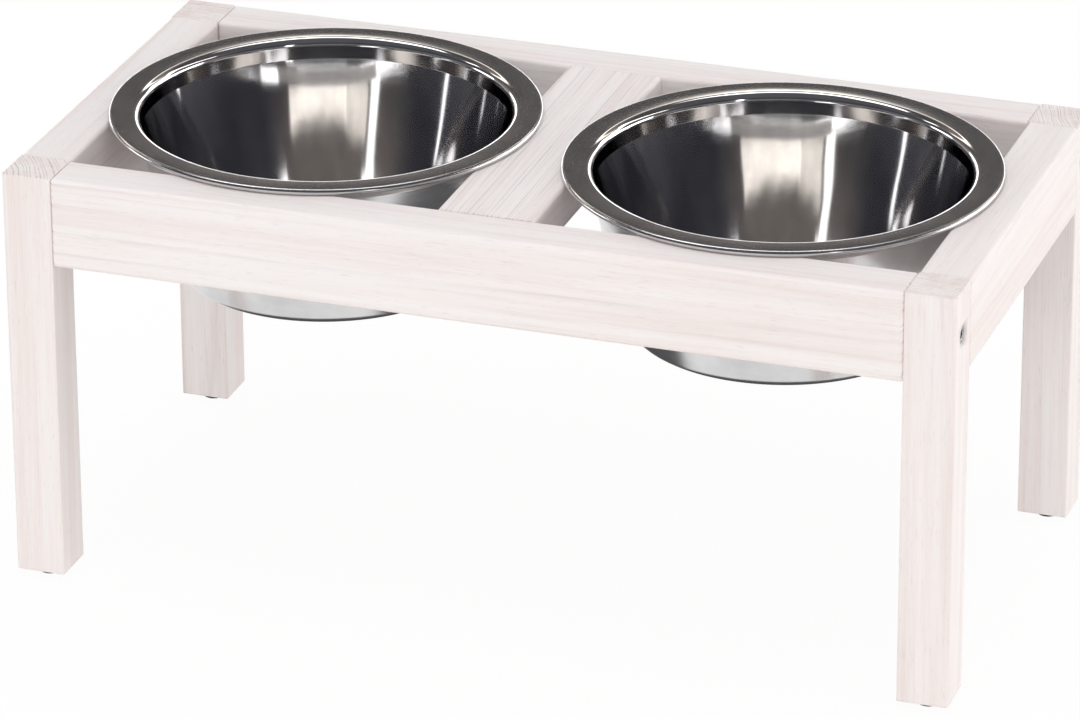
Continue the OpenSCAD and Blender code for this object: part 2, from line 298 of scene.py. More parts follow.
# A Mix node of plain values numbers its share and the two values 0, 2 and 3, and the mix 0.
line = add_node(tree, "ShaderNodeMix", {0: given["End Grain"], 2: long_line, 3: end_line}).outputs[0]
wood = mingled(tree, line, wood, late_brown)
wood = mingled(tree, fibre_dark, wood, late_brown)
thin = figure(tree, "MAXIMUM", given["Rub"], given["End Grain"])
veil = eased(tree, cover, low=0.30, high=0.72, out_low=0.22, out_high=0.66)
worn = eased(tree, thin, low=0.0, high=1.0, out_low=1.0, out_high=0.5)
veil = figure(tree, "MULTIPLY", veil, worn)
color = mingled(tree, veil, wood, wash_white)
fleck = eased(tree, canal, low=0.60, high=0.76, out_low=0.0, out_high=0.26)
color = mingled(tree, fleck, color, late_brown)
tree.links.new(color, made["Color"])
matt = scaled(tree, fibre, swing=0.22, base=0.46)
tree.links.new(matt, made["Roughness"])
relief = scaled(tree, late_wood, swing=0.6, base=fibre)
relief = figure(tree, "SUBTRACT", relief, fleck)
tree.links.new(relief, made["Height"])

# Rub along the arrises of a bar: one at an edge of the box about its middle, fading to nothing further in.
arris_rub, given, made = new_group(
    "arris_rub", {"Place": "Vector", "Middle": "Vector", "Half": "Vector"}, {"Rub": "Float"})
tree = arris_rub
off = arrow(tree, "ABSOLUTE", arrow(tree, "SUBTRACT", given["Place"], given["Middle"]))
depth = arrow(tree, "SUBTRACT", given["Half"], off)
depth = add_node(tree, "ShaderNodeSeparateXYZ", {"Vector": depth}).outputs
nearer = figure(tree, "MINIMUM", depth["X"], depth["Y"])
farther = figure(tree, "MAXIMUM", depth["X"], depth["Y"])
second = figure(tree, "MAXIMUM", nearer, figure(tree, "MINIMUM", farther, depth["Z"]))
patchy = speckle(tree, given["Place"], stretch=(60, 60, 60), detail=3.0)
widest_rub = 0.0042
reach = figure(tree, "MULTIPLY", patchy, widest_rub)
untouched = eased(tree, second, low=0.0, high=reach)
tree.links.new(figure(tree, "SUBTRACT", 1.0, untouched), made["Rub"])

grain_axis = {"X": (1, 0, 0), "Y": (0, 1, 0), "Z": (0, 0, 1)}
grain_euler = {"X": (0, -math.pi / 2, 0), "Y": (math.pi / 2, 0, 0), "Z": (0, 0, 0)}


def new_material(name):
    """Material with its node tree, its Principled shader and the Object coordinates of the piece."""
    material = bpy.data.materials.new(name)
    material.use_nodes = True
    tree = material.node_tree
    here = add_node(tree, "ShaderNodeTexCoord").outputs["Object"]
    return material, tree, tree.nodes["Principled BSDF"], here


def embossed(tree, height, strength, distance):
    """Output of a Bump node: the surface's normal as a height in relief turns it."""
    feeds = {"Strength": strength, "Distance": distance, "Height": height}
    return add_node(tree, "ShaderNodeBump", feeds).outputs["Normal"]


def whitewashed_pine(name, grain, low, high, growth):
    """Washed pine of one member. A Mapping node puts the pith of its tree, which lies beside or inside the
    bar and leans a little against it, on the Z axis of the grain."""
    material, tree, surface, here = new_material(name)
    turn = Vector(grain_euler[grain]) + Vector(tuple(map(math.radians, growth["lean"])))
    shift = -(Euler(turn).to_matrix() @ Vector(growth["pith"]))
    place = add_node(tree, "ShaderNodeMapping",
                     {"Vector": here, "Location": shift, "Rotation": turn}).outputs["Vector"]
    facing = add_node(tree, "ShaderNodeNewGeometry").outputs["Normal"]
    end_grain = figure(tree, "ABSOLUTE", arrow(tree, "DOT_PRODUCT", facing, grain_axis[grain]))
    middle = (Vector(low) + Vector(high)) / 2
    half = (Vector(high) - Vector(low)) / 2
    rub = add_node(tree, "ShaderNodeGroup", {"Place": here, "Middle": middle, "Half": half},
                   node_tree=arris_rub).outputs["Rub"]
    pine = add_node(tree, "ShaderNodeGroup",
                    {"Place": place, "Ring Width": growth["ring"], "Line Strength": growth["line"],
                     "End Grain": end_grain, "Rub": rub}, node_tree=pine_grain)
    relief = embossed(tree, pine.outputs["Height"], strength=0.2, distance=0.0002)
    feed(tree, surface, {"Base Color": pine.outputs["Color"], "Roughness": pine.outputs["Roughness"],
                         "Normal": relief, "Specular IOR Level": 0.3})
    return material


leg_arris = 0.002
plain_arris = 0.0009
leg_end_arris = 0.0006
bolt_height = 0.2145
bolt_recess = ((0.012, 0.0065), (0.0065, 0.030))
dowel_hole = ((0.0081, 0.0165),)
dowel_rise = 0.0135
locator_hole = ((0.0061, 0.0085),)
locator_drop = 0.014
pilot_hole = ((0.0032, 0.0165),)
legs = {
    "front_left_leg": {"pith": (-0.37, -0.19, 1.3), "lean": (0.5, -0.4, 0), "ring": 0.0023, "line": 0.16},
    "front_right_leg": {"pith": (0.21, -0.27, 4.1), "lean": (-0.4, 0.5, 0), "ring": 0.0015, "line": 0.3},
    "back_left_leg": {"pith": (-0.34, 0.04, 7.7), "lean": (0.3, 0.6, 0), "ring": 0.0019, "line": 0.36},
    "back_right_leg": {"pith": (0.38, 0.16, 2.9), "lean": (-0.5, 0.2, 0), "ring": 0.0014, "line": 0.3},
}
for seed, (node, growth) in enumerate(legs.items()):
    low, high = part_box(node)
    right = low.x > 0
    back = low.y > 0
    middle = (low + high) / 2
    # A section's arrises are counted round it from the front left one.
    outer = (2 if right else 3) if back else (1 if right else 0)
    arrises = [plain_arris] * 4
    arrises[outer] = leg_arris
    leg = add_piece("pine_" + node, *eased_bar(low, high, "Z", arrises, leg_end_arris, seed))
    bored(leg, (high.x if right else low.x, middle.y, bolt_height), (-1 if right else 1, 0, 0), bolt_recess)
    for rise in (-dowel_rise, dowel_rise):
        mouth = (middle.x, low.y if back else high.y, bolt_height + rise)
        bored(leg, mouth, (0, 1 if back else -1, 0), dowel_hole)
    mouth = (low.x if right else high.x, middle.y, bolt_height - locator_drop)
    bored(leg, mouth, (1 if right else -1, 0, 0), locator_hole)
    bored(leg, (middle.x, middle.y, low.z), (0, 0, 1), pilot_hole)
    leg.data.materials.append(whitewashed_pine(node + "_wash", "Z", low, high, growth))
    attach(leg, "frame")
    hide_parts(node)


# End rails: two pine boards on edge between a front and a back leg, flush with the legs outside and on top.
# Each is held by two glued dowels at each end, and its long arrises are rounded.
rail_arris = 0.002
butt_arris = 0.0003
end_rail_seed = 10
end_rails = {
    "left_end_rail": {"pith": (-0.40, -3.3, 0.19), "lean": (0, 0.4, 0.3), "ring": 0.0016, "line": 0.34},
    "right_end_rail": {"pith": (0.39, 2.6, 0.26), "lean": (0, -0.5, -0.4), "ring": 0.0017, "line": 0.26},
}
for seed, (node, growth) in enumerate(end_rails.items(), end_rail_seed):
    low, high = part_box(node)
    middle = (low + high) / 2
    rail = add_piece("pine_" + node, *eased_bar(low, high, "Y", [rail_arris] * 4, butt_arris, seed))
    for mouth_y, way in ((low.y, 1), (high.y, -1)):
        for rise in (-dowel_rise, dowel_rise):
            bored(rail, (middle.x, mouth_y, middle.z + rise), (0, way, 0), dowel_hole)
    rail.data.materials.append(whitewashed_pine(node + "_wash", "Y", low, high, growth))
    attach(rail, "frame")
    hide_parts(node)


# Long rails: the front and the back board, also pine, with all arrises rounded, so that a fine groove
# shows where they meet the legs. A bolt and a locating dowel enter each end, and the barrel nuts go in
# from below.
long_rail_end_arris = 0.0017
bolt_hole = ((0.0065, 0.0415),)
nut_hole = ((0.0101, 0.0335),)
nut_setback = 0.032
rail_locator_hole = ((0.0061, 0.0165),)
crossbar_dowel_offset = 0.015
crossbar_height = 0.228
long_rail_seed = 20
long_rails = {
    "front_rail": {"pith": (5.2, -0.085, 0.205), "lean": (0, 0.35, 0.25), "ring": 0.0034, "line": 0.3},
    "back_rail": {"pith": (8.3, 0.088, 0.208), "lean": (0, -0.3, 0.35), "ring": 0.0031, "line": 0.3},
}
for seed, (node, growth) in enumerate(long_rails.items(), long_rail_seed):
    low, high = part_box(node)
    back = low.y > 0
    middle = (low + high) / 2
    rail = add_piece("pine_" + node, *eased_bar(low, high, "X", [rail_arris] * 4, long_rail_end_arris, seed))
    for mouth_x, way in ((low.x, 1), (high.x, -1)):
        bored(rail, (mouth_x, middle.y, bolt_height), (way, 0, 0), bolt_hole)
        bored(rail, (mouth_x + way * nut_setback, middle.y, low.z), (0, 0, 1), nut_hole)
        bored(rail, (mouth_x, middle.y, bolt_height - locator_drop), (way, 0, 0), rail_locator_hole)
    inner_face = low.y if back else high.y
    for aside in (-crossbar_dowel_offset, crossbar_dowel_offset):
        bored(rail, (aside, inner_face, crossbar_height), (0, 1 if back else -1, 0), dowel_hole)
    rail.data.materials.append(whitewashed_pine(node + "_wash", "X", low, high, growth))
    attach(rail, "frame")
    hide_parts(node)


# Crossbar: a pine board laid flat between the two long rails, which parts the two openings and stiffens the
# frame. Two glued dowels hold each end.
crossbar_growth = {"pith": (0.16, 6.1, 0.19), "lean": (0, 0.9, -1.1), "ring": 0.0024, "line": 1.15}
crossbar_seed = 30
low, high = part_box("center_crossbar")
middle = (low + high) / 2
crossbar_surface = eased_bar(low, high, "Y", [rail_arris] * 4, butt_arris, crossbar_seed)
crossbar = add_piece("pine_center_crossbar", *crossbar_surface)
for mouth_y, way in ((low.y, 1), (high.y, -1)):
    for aside in (-crossbar_dowel_offset, crossbar_dowel_offset):
        bored(crossbar, (aside, mouth_y, middle.z), (0, way, 0), dowel_hole)
crossbar.data.materials.append(whitewashed_pine("center_crossbar_wash", "Y", low, high, crossbar_growth))
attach(crossbar, "frame")
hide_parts("center_crossbar")


# Feet: four small moulded rubber discs under the legs, each with a stepped hole for its screw, a rounded
# lower edge and a shallow moulded ring on its underside.

def turned(profile, axis_point, around=72):
    """Rings of a surface of revolution about an upright axis: each profile point, a radius and a height, is
    carried round the axis."""
    angle = np.linspace(0, 2 * math.pi, around, endpoint=False)
    radius = profile[:, :1]
    return np.stack([axis_point[0] + radius * np.cos(angle), axis_point[1] + radius * np.sin(angle),
                     np.repeat(axis_point[2] + profile[:, 1:], around, 1)], -1)


def bend(center, radius, start, stop, step):
    """Points of a circular arc between two angles in degrees, no further apart than the step."""
    count = max(2, int(math.ceil(abs(stop - start) / step)) + 1)
    angle = np.radians(np.linspace(start, stop, count))
    return np.stack([center[0] + radius * np.cos(angle), center[1] + radius * np.sin(angle)], -1)


foot_radius = 0.0065
foot_height = 0.005
foot_round = 0.0015
foot_shoulder = 0.0004
screw_hole = 0.0016
head_hole = 0.0031
head_depth = 0.0026
mouth_ease = 0.0002
groove_radius = 0.0044
groove_depth = 0.0003
foot_profile = np.concatenate([
    [[screw_hole, foot_height], [screw_hole, head_depth], [head_hole, head_depth], [head_hole, mouth_ease]],
    [[head_hole + mouth_ease, 0.0]],
    bend((groove_radius, 0.0), groove_depth, 180, 0, step=20),
    bend((foot_radius - foot_round, foot_round), foot_round, -90, 0, step=9),
    bend((foot_radius - foot_shoulder, foot_height - foot_shoulder), foot_shoulder, 0, 90, step=15)])
moulded_rubber, tree, surface, here = new_material("moulded_rubber")
bloom = speckle(tree, here, stretch=(420, 420, 420), detail=3.0)
stipple = speckle(tree, here, stretch=(4200, 4200, 4200), detail=2.0)
rubber_black = paint("1A1A1B")
rubber_bloom = paint("333233")
tone = mingled(tree, eased(tree, bloom, low=0.42, high=0.75), rubber_black, rubber_bloom)
matt = scaled(tree, bloom, swing=0.25, base=0.55)
relief = embossed(tree, stipple, strength=0.4, distance=0.0001)
feed(tree, surface, {"Base Color": tone, "Roughness": matt, "Normal": relief, "Specular IOR Level": 0.35})
foot_centers = []
for node in ("front_left_foot", "front_right_foot", "back_left_foot", "back_right_foot"):
    low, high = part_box(node)
    center = ((low.x + high.x) / 2, (low.y + high.y) / 2, low.z)
    foot_centers.append(center)
    foot = add_piece("rubber_" + node, *skin(turned(foot_profile, center), closed=True))
    foot.data.materials.append(moulded_rubber)
    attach(foot, "frame")
    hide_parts(node)


# Foot screws: zinc-plated wood screws with a flat pan head and a pressed cross, driven from below through
# the feet into the legs. They lie sunk in the feet, so that only the cross shows from below.

# Fine marks of turning and polishing: rings about the Z axis of Place that break up along the turn, with a
# broad cloud of tone.
turned_marks, given, made = new_group(
    "turned_marks", {"Place": "Vector", "Lines": "Float"}, {"Mark": "Float", "Cloud": "Float"})
tree = turned_marks
axes = add_node(tree, "ShaderNodeSeparateXYZ", {"Vector": given["Place"]}).outputs
flat = arrow(tree, "MULTIPLY", given["Place"], (1, 1, 0))
outward = arrow(tree, "NORMALIZE", flat)
direction = add_node(tree, "ShaderNodeSeparateXYZ", {"Vector": outward}).outputs
across = figure(tree, "MULTIPLY", arrow(tree, "LENGTH", flat), given["Lines"])
upward = figure(tree, "MULTIPLY", axes["Z"], given["Lines"])
lines = add_node(tree, "ShaderNodeCombineXYZ", {"X": across, "Y": upward, "Z": direction["X"]})
mark = add_node(tree, "ShaderNodeTexNoise",
                {"Vector": lines.outputs["Vector"], "W": direction["Y"], "Scale": 1.0, "Detail": 2.0},
                noise_dimensions="4D").outputs["Fac"]
tree.links.new(mark, made["Mark"])
cloud = speckle(tree, given["Place"], stretch=(35, 35, 35), detail=3.0)
tree.links.new(cloud, made["Cloud"])


def zinc_plate(name, lines):
    """Bright zinc plate on steel: grey metal, cloudy in tone and relief, with turning marks in its gloss."""
    material, tree, surface, here = new_material(name)
    marks = add_node(tree, "ShaderNodeGroup", {"Place": here, "Lines": lines}, node_tree=turned_marks)
    cloud = speckle(tree, here, stretch=(900, 900, 900), detail=3.0)
    zinc_dark = paint("8A8B8F")
    zinc_light = paint("C9CACC")
    tone = mingled(tree, eased(tree, cloud, low=0.3, high=0.7), zinc_dark, zinc_light)
    gloss = scaled(tree, marks.outputs["Mark"], swing=0.25, base=0.18)
    relief = embossed(tree, cloud, strength=0.25, distance=0.0001)
    feed(tree, surface, {"Base Color": tone, "Roughness": gloss, "Normal": relief, "Metallic": 1.0})
    return material


def screw_rings(center):
    """Rings of a foot screw, turned about an upright axis. On the head's face a cross is pressed in: the
    face is raised by the depth of the cross where either of its arms covers it."""
    head_radius = 0.003
    head_low = 0.0006
    head_high = 0.0026
    shank_radius = 0.0015
    tip = 0.021
    point_length = 0.003
    arm_half_width = 0.0005
    arm_length = 0.0019
    cross_depth = 0.0011
    edge = 0.00012
    head_round = 0.0004
    least_radius = 0.00005
    face_rings = 40
    face_radius = np.linspace(least_radius, head_radius - head_round, face_rings)
    face = np.stack([face_radius, np.full_like(face_radius, head_low)], -1)
    rim = bend((head_radius - head_round, head_low + head_round), head_round, -90, 0, step=15)
    rest = np.array([[head_radius, head_high], [shank_radius, head_high],
                     [shank_radius, tip - point_length], [least_radius, tip]])
    rings = turned(np.concatenate([face, rim, rest]), (0, 0, 0), around=120)
    inner = rings[:len(face)]
    x = np.abs(inner[..., 0])
    y = np.abs(inner[..., 1])
    arm = np.minimum(np.maximum(x / arm_length, y / arm_half_width),
                     np.maximum(y / arm_length, x / arm_half_width))
    inner[..., 2] += cross_depth * np.clip((1 - arm) * arm_half_width / edge, 0, 1)
    return rings + np.array(center)


def gathered(parts):
    """One surface of several parts given as rings, each closed at both ends by a fan to the ring's middle:
    their vertices in a row, and their faces renumbered to match."""
    vertices = []
    faces = []
    count = 0
    for rings in parts:
        points, blocks = skin(rings, rings[0].mean(0), rings[-1].mean(0))
        vertices.append(points)
        faces += [block + count for block in blocks]
        count += len(points)
    return np.concatenate(vertices), faces


screw_parts = [screw_rings(center) for center in foot_centers]
foot_screws = add_piece("zinc_foot_screws", *gathered(screw_parts))
foot_screws.data.materials.append(zinc_plate("foot_screw_zinc", lines=2500.0))
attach(foot_screws, "frame")
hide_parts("foot_screws")


# Connector bolts: turned steel bolts, zinc plated, with a round head and a hexagon socket. One lies in a
# recess in the outer end face of each leg and draws the leg against the long rail.

def bolt_rings(seat, way):
    """Rings of a bolt along X: stations of distance along the bolt and radius, carried round its axis. A
    station that ends in 1 has the hexagon of the socket: half the key over the cosine of the angle from a
    flat."""
    head_radius = 0.0055
    head_height = 0.0055
    chamfer = 0.0007
    half_key = 0.0025
    key_depth = 0.003
    shank_radius = 0.003
    shank_length = 0.0625
    shank_chamfer = 0.0006
    drill_point = 0.0009
    least_radius = 0.0001
    mouth_ease = 0.0003
    seat_ease = 0.0002
    round_fall = chamfer * 0.35
    round_reach = chamfer * 0.3
    angle_step = 5.0
    angle = np.radians(np.arange(0, 360, angle_step))
    hexagon = half_key / np.cos((angle + math.pi / 6) % (math.pi / 3) - math.pi / 6)
    round_mouth = half_key / math.cos(math.pi / 6) + mouth_ease
    stations = [(head_height - key_depth - drill_point, least_radius, 0),
                (head_height - key_depth, 1.0, 1),
                (head_height - mouth_ease, 1.0, 1),
                (head_height, round_mouth, 0),
                (head_height, head_radius - chamfer, 0),
                (head_height - round_fall, head_radius - round_reach, 0),
                (head_height - chamfer, head_radius, 0),
                (seat_ease, head_radius, 0),
                (0, head_radius - seat_ease, 0),
                (0, shank_radius, 0),
                (-shank_length + shank_chamfer, shank_radius, 0),
                (-shank_length, shank_radius - shank_chamfer, 0),
                (-shank_length, least_radius, 0)]
    along, radius, hexed = np.array(stations).T
    spread = np.where(hexed[:, None] > 0, hexagon * radius[:, None], radius[:, None])
    rings = np.stack([seat[0] + way * np.repeat(along[:, None], len(angle), 1),
                      seat[1] + spread * np.cos(angle), seat[2] + way * spread * np.sin(angle)], -1)
    return rings[::-1]


bolt_seat_depth = 0.0065
bolt_parts = []
for node in legs:
    low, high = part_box(node)
    way = 1 if low.x > 0 else -1
    face = high.x if way > 0 else low.x
    seat = (face - way * bolt_seat_depth, (low.y + high.y) / 2, bolt_height)
    bolt_parts.append(bolt_rings(seat, way))
connector_bolts = add_piece("zinc_connector_bolts", *gathered(bolt_parts), crease_degrees=28)
connector_bolts.data.materials.append(zinc_plate("connector_bolt_zinc", lines=1800.0))
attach(connector_bolts, "frame")
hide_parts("connector_bolts")


# Barrel nuts: turned steel pegs with a cross bore and a slot, zinc plated. They sit in the long rails, where
# only their slotted ends show in the holes from below, so the solids stay as they are.
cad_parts["barrel_nuts"].data.materials.clear()
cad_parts["barrel_nuts"].data.materials.append(zinc_plate("barrel_nut_zinc", lines=1500.0))


# Dowels: turned and cut lengths of beech, glued into the ends of the end rails and of the crossbar, and
# thinner ones beside the bolts that keep the long rails from turning. All are hidden in the wood, so the
# solids stay as they are.
turned_beech, tree, surface, here = new_material("turned_beech")
pore = speckle(tree, here, stretch=(1400, 60, 1400), detail=3.0)
streak = speckle(tree, here, stretch=(90, 12, 90), detail=3.0)
beech_light = paint("DEC29A")
beech_dark = paint("B98F62")
dark = eased(tree, figure(tree, "MULTIPLY", pore, streak), low=0.12, high=0.42)
tone = mingled(tree, dark, beech_light, beech_dark)
matt = scaled(tree, pore, swing=0.2, base=0.5)
relief = embossed(tree, pore, strength=0.3, distance=0.0001)
feed(tree, surface, {"Base Color": tone, "Roughness": matt, "Normal": relief})
for node in ("end_rail_dowels", "locating_dowels", "crossbar_dowels"):
    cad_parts[node].data.materials.clear()
    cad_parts[node].data.materials.append(turned_beech)


# Bowls: two deep-drawn stainless steel bowls, polished inside and satin outside, with an upright collar
# below the flange, a tapered wall and a flat base. The edge is rolled into a bead that hangs the bowl in
# its opening, so that it lifts straight out.
rim_radius = 0.119
sheet = 0.0008
bead_height = 0.0033
collar_radius = 0.1025
lip_radius = 0.0045
flange_dip = math.radians(3.8)
collar_depth = 0.012
crease_radius = 0.00125
bowl_depth = 0.094
base_radius = 0.0774
base_bend = 0.006
wall_bow = 0.0005


def straight(start, stop, count, bow=0.0):
    """Points strictly between two points, closer together near both ends. A bow moves them aside along a
    parabola that is widest half way: outwards and down, or inwards and up where it is negative."""
    share = (1 - np.cos(np.linspace(0, math.pi, count + 2)[1:-1])) / 2
    run = np.array(stop) - np.array(start)
    aside = np.array([abs(run[1]), -abs(run[0])]) / np.hypot(*run)
    return start + share[:, None] * run + (4 * bow * share * (1 - share))[:, None] * aside


def bowl_profile():
    """Section of the bowl's sheet as one line from the middle of the underside up the outside, round the
    rolled bead, and back over the flange and down the inside to the middle of the base. Bends are arcs half
    a sheet to either side of the sheet's middle line. The flange is a parabola, level at the bead and
    dipping towards the lip. With the points come how satin each one is and the height of the underside."""
    half_sheet = sheet / 2
    bead_radius = bead_height / 2
    bead = (rim_radius - bead_radius, bead_radius)
    bead_middle = bead_radius - half_sheet
    collar_middle = collar_radius - half_sheet
    lip_reach = collar_radius + lip_radius - sheet
    flange_run = bead[0] - lip_reach + lip_radius * math.sin(flange_dip)
    flange_bow = -flange_run * flange_dip / 8
    lip = (lip_reach, bead_height - flange_run * flange_dip / 2 - lip_radius * math.cos(flange_dip))
    lip_start = 90 + math.degrees(flange_dip)
    lip_middle = lip_radius - half_sheet
    crease = (collar_middle - crease_radius, bead_height - collar_depth)
    base_low = bead_height - bowl_depth
    base = (base_radius, base_low + base_bend)
    base_middle = base_bend - half_sheet
    run = np.subtract(base, crease)
    swing = math.acos((crease_radius - base_middle) / np.hypot(*run))
    tilt = math.degrees(math.atan2(run[1], run[0]) + swing)
    fine = 2.5
    outside = [bend(base, base_middle + half_sheet, -90, tilt, fine),
               bend(crease, crease_radius + half_sheet, tilt, 0, fine),
               bend(lip, lip_middle - half_sheet, 180, lip_start, 3 * fine),
               bend(bead, bead_middle - half_sheet, 90, -180, 6 * fine)]
    tip = bend((bead[0] - bead_middle, bead[1]), half_sheet, 0, -180, step=30)[1:-1]
    inside = [bend(bead, bead_middle + half_sheet, -180, 90, 2 * fine),
              bend(lip, lip_middle + half_sheet, lip_start, 180, fine),
              bend(crease, crease_radius - half_sheet, 0, tilt, fine),
              bend(base, base_middle - half_sheet, tilt, -90, fine)]
    under = [straight((0.0, base_low), outside[0][0], count=10), outside[0],
             straight(outside[0][-1], outside[1][0], count=20, bow=wall_bow), outside[1],
             straight(outside[1][-1], outside[2][0], count=6), outside[2],
             straight(outside[2][-1], outside[3][0], count=6, bow=flange_bow), outside[3], tip]
    over = [inside[0], straight(inside[0][-1], inside[1][0], count=12, bow=flange_bow), inside[1],
            straight(inside[1][-1], inside[2][0], count=6), inside[2],
            straight(inside[2][-1], inside[3][0], count=28, bow=wall_bow), inside[3],
            straight(inside[3][-1], (0.0, base_low + sheet), count=12)]
    outside_satin = 0.75
    finish = [np.full(len(part), outside_satin) for part in under]
    # From the bead over flange, lip, collar, crease, wall and base bend to the base.
    over_satin = (0.45, 0.12, 0.06, 0.05, 0.0, 0.0, 0.0, 0.05)
    finish += [np.full(len(part), level) for part, level in zip(over, over_satin)]
    return np.concatenate(under + over), np.concatenate(finish), base_low


def sprung(rings, center, seed):
    """Moves the rings of a bowl in or out by a few hundredths of a millimetre in long lobes, as sheet
    springs back after drawing: sines of the angle round the bowl and of the height, which fade to nothing
    at the collar and in the middle of the base."""
    draw = np.random.default_rng(seed)
    offset = rings - np.array(center)
    angle = np.arctan2(offset[..., 1], offset[..., 0])
    radius = np.hypot(offset[..., 0], offset[..., 1])
    height = offset[..., 2]
    spring = 0.00004
    lobes = np.array([3, 5, 9, 24])
    steepest = np.array([20, 40, 80, 160])
    rise_share = (0.5, 1.0)
    weight = np.array([1.0, 0.7, 0.4, 0.2])
    collar_fade = 0.004
    base_fade = 0.03
    rise = draw.uniform(*rise_share, len(lobes)) * steepest
    phase = draw.uniform(0, 2 * math.pi, len(lobes))
    wave = (weight * np.sin(angle[..., None] * lobes + height[..., None] * rise + phase)).sum(-1)
    fade = np.clip((collar_radius - radius) / collar_fade, 0, 1) * np.clip(radius / base_fade, 0, 1)
    moved = rings.copy()
    moved[..., 0] += spring * wave * fade * np.cos(angle)
    moved[..., 1] += spring * wave * fade * np.sin(angle)
    return moved


def drawn_steel(name, center):
    """Stainless steel of one bowl: grey metal whose gloss goes from polished to satin by the finish of the
    piece, with fine rings from spinning polish about the bowl's axis and a slow cloud of tone."""
    material, tree, surface, here = new_material(name)
    place = add_node(tree, "ShaderNodeMapping", {"Vector": here, "Location": -Vector(center)})
    place = place.outputs["Vector"]
    marks = add_node(tree, "ShaderNodeGroup", {"Place": place, "Lines": 1600.0}, node_tree=turned_marks)
    satin = add_node(tree, "ShaderNodeAttribute", attribute_name="satin").outputs["Fac"]
    steel_dark = paint("CDCCCD")
    steel_light = paint("DDDCDC")
    tone = mingled(tree, eased(tree, marks.outputs["Cloud"], low=0.3, high=0.7), steel_dark, steel_light)
    gloss = scaled(tree, satin, swing=0.22, base=0.06)
    streaky = scaled(tree, marks.outputs["Mark"], swing=0.10, base=-0.05)
    streaky = figure(tree, "MULTIPLY", streaky, scaled(tree, satin, swing=0.8, base=0.4))
    gloss = figure(tree, "ADD", gloss, streaky)
    dent = speckle(tree, place, stretch=(28, 28, 28), detail=2.0)
    mark_depth = 0.05
    scratch = figure(tree, "MULTIPLY", marks.outputs["Mark"], mark_depth)
    relief = scaled(tree, dent, swing=3.0, base=scratch)
    relief = embossed(tree, relief, strength=0.12, distance=0.0001)
    feed(tree, surface, {"Base Color": tone, "Roughness": gloss, "Normal": relief, "Metallic": 1.0})
    return material


bowl_around = 256
bowl_seed = 40
profile, satin, base_low = bowl_profile()
level = np.concatenate([np.repeat(satin, bowl_around), [satin[0], satin[-1]]])
for seed, node in enumerate(("left_bowl", "right_bowl"), bowl_seed):
    low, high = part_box(node)
    center = ((low.x + high.x) / 2, (low.y + high.y) / 2, high.z - bead_height)
    rings = sprung(turned(profile, center, bowl_around), center, seed)
    below = np.array(center) + (0, 0, base_low)
    inside = np.array(center) + (0, 0, base_low + sheet)
    bowl = add_piece("steel_" + node, *skin(rings, below, inside), crease_degrees=60)
    bowl.data.attributes.new("satin", "FLOAT", "POINT").data.foreach_set("value", level)
    bowl.data.materials.append(drawn_steel(node + "_steel", center))
    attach(bowl, node)
    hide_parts(node)


# Floor: a plain white studio floor. The camera sees an even white, with a small share of the matt surface
# near the object to keep its shadow. The steel mirrors the same white, with a painted grey shade under each
# bowl that stands in for the shadow there.
floor_half = 30.0
floor_mesh = bpy.data.meshes.new("studio_floor")
floor_corners = np.array([[-1, -1, 0], [1, -1, 0], [1, 1, 0], [-1, 1, 0]]) * floor_half
floor_mesh.from_pydata(floor_corners.tolist(), [], [[0, 1, 2, 3]])
studio_floor = bpy.data.objects.new("studio_floor", floor_mesh)
bpy.context.scene.collection.objects.link(studio_floor)
floor_white, tree, surface, here = new_material("floor_white")
feed(tree, surface, {"Base Color": paint("F9F6F3"), "Roughness": 0.9, "Specular IOR Level": 0.1})
away = arrow(tree, "LENGTH", here)
bowl_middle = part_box("right_bowl")[0].x / 2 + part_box("right_bowl")[1].x / 2
beside = arrow(tree, "LENGTH", arrow(tree, "SUBTRACT", arrow(tree, "ABSOLUTE", here), (bowl_middle, 0, 0)))
rays = add_node(tree, "ShaderNodeLightPath").outputs
# Painted shade: glossy rays see a grey patch of floor under each bowl, in place of the shadow there.
under = figure(tree, "MULTIPLY", rays["Is Glossy Ray"], eased(tree, beside, low=0.165, high=0.125))
even_white = (1, 1, 1, 1)
painted_under_shade = paint("5A5A5C")
white_with_painted_shade = mingled(tree, under, even_white, painted_under_shade)
even = add_node(tree, "ShaderNodeEmission", {"Color": white_with_painted_shade, "Strength": 1.0})
seen = figure(tree, "MAXIMUM", rays["Is Camera Ray"], rays["Is Transmission Ray"])
seen = figure(tree, "MULTIPLY", seen, eased(tree, away, low=0.2, high=0.5, out_low=0.95, out_high=1.0))
seen = figure(tree, "MAXIMUM", seen, rays["Is Glossy Ray"])
mix = add_node(tree, "ShaderNodeMixShader",
               {"Fac": seen, 1: surface.outputs["BSDF"], 2: even.outputs["Emission"]})
tree.links.new(mix.outputs["Shader"], tree.nodes["Material Output"].inputs["Surface"])
floor_mesh.materials.append(floor_white)


# Studio: the polished steel mirrors a dim room with far soft panels overhead, behind, at the sides and in
# front. Everything else is lit by an even dome and three large soft boxes, which the steel doesn't mirror.

